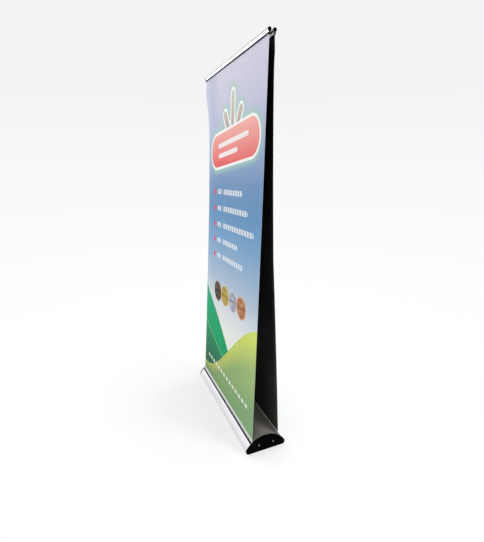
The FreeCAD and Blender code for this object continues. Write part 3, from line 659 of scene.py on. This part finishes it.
def paint_badge(paint, colour, across, height):
    """A coral bar with two plain strokes, under a fan of three petals, in a white outline and a glow."""
    def on_bar(run, drop):
        """A point by its run along the badge's middle line and its drop below it."""
        return (
            BADGE_AT[0] + run * math.cos(BADGE_LEAN) + drop * math.sin(BADGE_LEAN),
            BADGE_AT[1] + run * math.sin(BADGE_LEAN) - drop * math.cos(BADGE_LEAN),
        )

    bar = capsule(across, height, BADGE_AT, BADGE_HALF, BADGE_RADIUS, BADGE_LEAN)
    petals = None
    for tilt, reach in PETALS:
        turn = math.radians(90 - tilt)
        from_bar = PETAL_FROM + reach
        centre = (BADGE_AT[0] + from_bar * math.cos(turn), BADGE_AT[1] + from_bar * math.sin(turn))
        one = capsule(across, height, centre, reach, PETAL_RADIUS, turn)
        petals = one if petals is None else petals.least(one)
    shape = bar.least(petals)
    glow = shape.ramp(0.052, OUTLINE, smooth=True)
    colour = paint.blend(glow * 0.75, colour, screen(166, 208, 188))
    colour = paint.blend((shape - OUTLINE).inside(PRINT_EDGE), colour, WHITE)
    tan = paint.blend(height.ramp(1.60, 1.84), screen(176, 160, 152), screen(214, 204, 194))
    colour = paint.blend(petals.inside(PRINT_EDGE), colour, tan)
    colour = paint.blend((bar - 0.012).inside(PRINT_EDGE), colour, WHITE)
    coral = paint.blend(height.ramp(1.47, 1.66), screen(232, 104, 104), screen(244, 178, 170))
    colour = paint.blend(bar.inside(PRINT_EDGE), colour, coral)
    for start, end, drop in STROKES:
        centre = on_bar((start + end) / 2, drop)
        stroke = capsule(across, height, centre, (end - start) / 2, STROKE_RADIUS, BADGE_LEAN)
        colour = paint.blend(stroke.inside(PRINT_EDGE) * 0.85, colour, WHITE)
    return colour


def paint_bars(paint, colour, across, height):
    """Five rows of plain marks, each behind a red dot."""
    for level, end in LINES:
        middle = ((LINE_START + end) / 2, level)
        bar = capsule(across, height, middle, (end - LINE_START) / 2, 0.0150)
        beside_gap = ((across - WORD_GAP).size() - 0.012).ramp(-0.001, 0.001)
        marks = (across / MARK_PITCH).math("FRACT") - 0.5
        mark = bar.inside(PRINT_EDGE) * marks.size().ramp(0.38, 0.32) * beside_gap
        colour = paint.blend(mark * 0.74, colour, WHITE)
        dot = capsule(across, height, (DOT_AT, level - 0.002), 0.006, 0.013, math.radians(60))
        colour = paint.blend(dot.inside(PRINT_EDGE) * 0.9, colour, screen(232, 66, 92))
    return colour


def paint_medallions(paint, colour, across, height):
    """Round medallions, each with a rim, a ring, a mottled middle and a dark band."""
    for count, (dark, light) in enumerate(MEDALLIONS):
        centre = [at + step * count for at, step in zip(MEDALLION_AT, MEDALLION_STEP)]
        edge = disc(across, height, centre, MEDALLION_RADIUS)
        shade = paint.noise((80.0, 80.0, 80.0), detail=3.0).ramp(0.36, 0.64) * 0.6
        face = paint.blend(shade + (edge * 60.0).wave().ramp(-1, 1) * 0.3, dark, light)
        ring = ((edge + 0.018).size() - 0.0022).inside(PRINT_EDGE)
        face = paint.blend(ring * 0.6, face, dark)
        rim = (edge + 0.006).ramp(-0.001, 0.001)
        face = paint.blend(rim * 0.8, face, light)
        band = capsule(across, height, centre, 0.034, 0.011)
        face = paint.blend(band.inside(PRINT_EDGE) * 0.75, face, dark)
        colour = paint.blend(edge.inside(PRINT_EDGE), colour, face)
    return colour


def paint_hill(paint, colour, across, height):
    """An emerald sweep with a light vein, behind a yellow-green hill with a row of dashes."""
    sweep = height + across * 0.765 - (across * 5.5).wave() * 0.040 - 0.682
    vein = height + across * 0.40 - 0.412
    emerald = paint.blend(height.ramp(0.30, 0.66), screen(16, 160, 104), screen(34, 168, 116))
    teal = paint.blend(height.ramp(0.14, 0.40), screen(44, 106, 76), screen(24, 150, 104))
    colour = paint.blend((sweep - 0.004).inside(PRINT_EDGE), colour, screen(214, 222, 176))
    colour = paint.blend(sweep.inside(PRINT_EDGE), colour, emerald)
    colour = paint.blend(vein.inside(PRINT_EDGE), colour, teal)
    colour = paint.blend((vein.size() - 0.0028).inside(PRINT_EDGE), colour, screen(166, 200, 128))
    crest = height - across.ramp(0.02, 0.93, 0.08, 0.66, smooth=True)
    right = across.ramp(0.10, 0.80)
    lit = (crest / right.ramp(0.0, 1.0, 0.055, 0.26)).ramp(-1.0, -0.05, smooth=True)
    low = paint.blend(right, screen(124, 157, 104), screen(134, 172, 124))
    high = paint.blend(right, screen(184, 186, 96), screen(212, 226, 112))
    fold = (crest + across * 0.34 + 0.06).ramp(-0.16, 0.05, smooth=True) * right
    slope = paint.blend(lit * 0.75 + fold * 0.25, low, high)
    colour = paint.blend(crest.inside(PRINT_EDGE), colour, slope)
    dash = (((across - 0.075) / 0.05).math("FRACT") - 0.5).size().ramp(0.34, 0.26)
    row = ((height - 0.160).size() - 0.0115).inside(PRINT_EDGE)
    run = ((across - 0.435).size() - 0.345).inside(PRINT_EDGE)
    return paint.blend(dash * row * run * 0.78, colour, WHITE)


def light_stop(name, length, below):
    """The film's black back: faint streaks along it, greyer low down, and a painted highlight along its side
    edges that is strongest low down.
    """
    paint = Paint(name, Specular_IOR_Level=0.03)
    across, height = flat_place(paint, length, below)
    streaks = paint.noise((90.0, 90.0, 1.2), detail=3.0)
    haze = paint.noise(6.0, detail=4.0)
    tone = streaks * 0.5 + haze * 0.5
    # near black high up and dark grey low down
    black_high_up = paint.blend(tone, screen(2, 2, 3), screen(8, 8, 8))
    grey_low_down = paint.blend(tone, screen(48, 48, 47), screen(70, 67, 63))
    body = paint.blend(height.ramp(0.75, 0.25, smooth=True), black_high_up, grey_low_down)
    # painted highlight: lighter grey along the side edges, strongest low down, where the bowed edge catches
    # the light
    from_edge = film_width / 2 - (across - film_width / 2).size()
    edge_wear_and_highlight = from_edge.ramp(0.045, 0.0, smooth=True) * height.ramp(1.4, 0.1, 0.1, 0.8)
    body = paint.blend(edge_wear_and_highlight, body, screen(88, 85, 82))
    paint.bump(streaks, 0.0002, 0.25)
    return paint.finish(body, haze * 0.2 + streaks * 0.1 + 0.32)


def film_core(name):
    """The cut edge of the film, and the leader: plain pale polyester."""
    paint = Paint(name, Specular_IOR_Level=0.45)
    haze = paint.noise((30.0, 300.0, 30.0), detail=3.0)
    body = paint.blend(haze.ramp(0.3, 0.7), screen(216, 218, 218), screen(236, 238, 238))
    paint.bump(haze, 0.0001, 0.3)
    return paint.finish(body, haze * 0.16 + 0.3)


# ---------------------------------------------------------------- the pieces and their finishes

places = [FilmPlace(side) for side in SIDES]
rollers = []
for side in SIDES:
    low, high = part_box(f"{side}_graphic_roll")
    rollers.append(((low[1] + high[1]) / 2, (low[2] + high[2]) / 2))

core = film_core("film_core")
length, below = places[0].length, places[0].below      # the same for both films
faces = [
    printed_face("printed_film_face", length, below),
    light_stop("film_back", length, below),
    core,
]
for place in places:
    make_film(place, faces)
    make_leader(place, [core, core, core])

silver = (screen(214, 215, 217), screen(238, 239, 241))
bright = (screen(232, 233, 235), screen(248, 248, 250))
finishes = {
    "anodised_aluminium": extruded(
        "anodised_along_x", "X", *silver, 0.34, 0.35, between_the_films, screen(150, 146, 138)
    ),
    "rail_aluminium": extruded(
        # the matt grey along the rail's top is painted shade
        "rail_along_x", "X", *bright, 0.30, 0.4, painted_shade_on_rail_top, screen(116, 116, 110)
    ),
    "plate_metal": painted_plate("plate_coat"),
    "black_plastic": moulded(
        "black_moulding", screen(2, 2, 2), screen(5, 5, 5), 0.5, 0.008, 0.08, screen(30, 30, 32)
    ),
    "pale_plastic": moulded(
        "pale_moulding", screen(206, 203, 194), screen(226, 224, 216), 0.46, 0.45, 0.3, screen(240, 239, 234)
    ),
    "steel": plated_steel("zinc_plate", screen(142, 144, 148), screen(196, 198, 202), 0.30),
    "black_rubber": rubber("bloomed_rubber"),
    "elastic_cord": braided("braided_cover"),
    "printed_film": core,
    "film_roll": wound_film("film_turns", rollers),
}
upright = extruded("anodised_along_z", "Z", *silver, 0.34, 0.35)
UPRIGHT_PARTS = (
    "lower_pole_tube", "middle_pole_tube", "upper_pole_tube", "lower_ferrule", "upper_ferrule",
)

for name, node in frame["nodes"].items():
    for index, material in enumerate(node.data.materials):
        slot = material.name.split(".")[0]
        if slot == "anodised_aluminium" and name in UPRIGHT_PARTS:
            node.data.materials[index] = upright
        else:
            node.data.materials[index] = finishes[slot]


# ---------------------------------------------------------------- the studio

HORIZON = screen(249, 249, 250)
FLOOR_HALF = 60.0       # metres from the middle to an edge of the floor


def make_floor():
    """A plain pale floor, far larger than the object, that runs into the surround."""
    turns = ((-1, -1), (1, -1), (1, 1), (-1, 1))
    corners = [(x * FLOOR_HALF, y * FLOOR_HALF, 0) for x, y in turns]
    mesh = bpy.data.meshes.new("floor")
    mesh.from_pydata(corners, [], [(0, 1, 2, 3)])
    floor = bpy.data.objects.new("floor", mesh)
    bpy.context.scene.collection.objects.link(floor)
    paint = Paint("floor_paint", Specular_IOR_Level=0.0)
    x, y, _ = paint.split(paint.place())
    away = (x * x + y * y).root()
    cloud = paint.noise(1.5, detail=3.0)
    near = paint.blend(cloud, screen(244, 244, 244), screen(248, 248, 248))
    fade = [(0.1, screen(255, 255, 255)), (0.3, screen(252, 252, 252)), (1.0, HORIZON)]
    far = paint.bands(away / 20.0, fade)
    paint.wire(far, paint.shader.inputs["Emission Color"])
    glow = away.ramp(0.1, 1.6, 0.35, 1.0, smooth=True)
    paint.wire(glow, paint.shader.inputs["Emission Strength"])
    base = paint.blend(glow, near, BLACK)
    mesh.materials.append(paint.finish(base, cloud * 0.1 + 0.7))


def make_sky():
    """An even white surround, a little greyer overhead."""
    world = bpy.data.worlds.new("surround")
    world.use_nodes = True
    nodes, links = world.node_tree.nodes, world.node_tree.links
    where = nodes.new("ShaderNodeTexCoord")
    split = nodes.new("ShaderNodeSeparateXYZ")
    links.new(where.outputs["Generated"], split.inputs[0])
    run = nodes.new("ShaderNodeValToRGB")
    run.color_ramp.elements[0].position = 0.0
    run.color_ramp.elements[0].color = HORIZON
    run.color_ramp.elements[1].position = 0.20
    run.color_ramp.elements[1].color = screen(243, 243, 244)
    links.new(split.outputs[2], run.inputs[0])
    background = nodes["Background"]
    links.new(run.outputs[0], background.inputs[0])
    background.inputs[1].default_value = 1.0
    bpy.context.scene.world = world


def make_light(name, at, towards, across, power):
    """A square soft light."""
    data = bpy.data.lights.new(name, "AREA")
    data.shape = "SQUARE"
    data.size = across
    data.energy = power
    light = bpy.data.objects.new(name, data)
    light.location = at
    light.rotation_euler = (Vector(towards) - Vector(at)).to_track_quat("-Z", "Y").to_euler()
    light.visible_camera = False
    bpy.context.scene.collection.objects.link(light)


# each light: name, place, what it points at, size and watts
LIGHTS = (
    ("key", (-1.6, -3.6, 2.6), (0, 0, 1.0), 2.4, 14),
    ("left", (-4.2, -1.5, 3.0), (0, 0, 1.2), 3.0, 50),
    ("side", (2.8, 2.2, 1.6), (0.3, 0.0, 0.2), 1.4, 60),
    ("behind", (-1.0, 3.6, 2.6), (0, 0, 1.0), 2.4, 20),
)
CAMERA_AT = Vector((1.8953, -0.7637, 1.4740))
CAMERA_TURN = 1.168         # radians to the left of +Y
CAMERA_TILT = -0.265
CAMERA_ROLL = -0.003
CAMERA_LENS = 23.515        # mm, for a long side of 36 mm


def make_camera():
    """A camera at the photo's place and angle."""
    forward = Vector((
        -math.sin(CAMERA_TURN) * math.cos(CAMERA_TILT),
        math.cos(CAMERA_TURN) * math.cos(CAMERA_TILT),
        math.sin(CAMERA_TILT),
    ))
    level = Vector((math.cos(CAMERA_TURN), math.sin(CAMERA_TURN), 0))
    above = level.cross(forward)
    right = level * math.cos(CAMERA_ROLL) + above * math.sin(CAMERA_ROLL)
    up = above * math.cos(CAMERA_ROLL) - level * math.sin(CAMERA_ROLL)
    data = bpy.data.cameras.new("camera")
    data.sensor_width = 36
    data.lens = CAMERA_LENS
    data.clip_end = 200
    camera = bpy.data.objects.new("camera", data)
    turn = Matrix((right, up, -forward)).transposed().to_4x4()
    camera.matrix_world = Matrix.Translation(CAMERA_AT) @ turn
    bpy.context.scene.collection.objects.link(camera)
    bpy.context.scene.camera = camera


make_floor()
make_sky()
for light in LIGHTS:
    make_light(*light)
make_camera()
bpy.context.scene.view_settings.view_transform = "Standard"
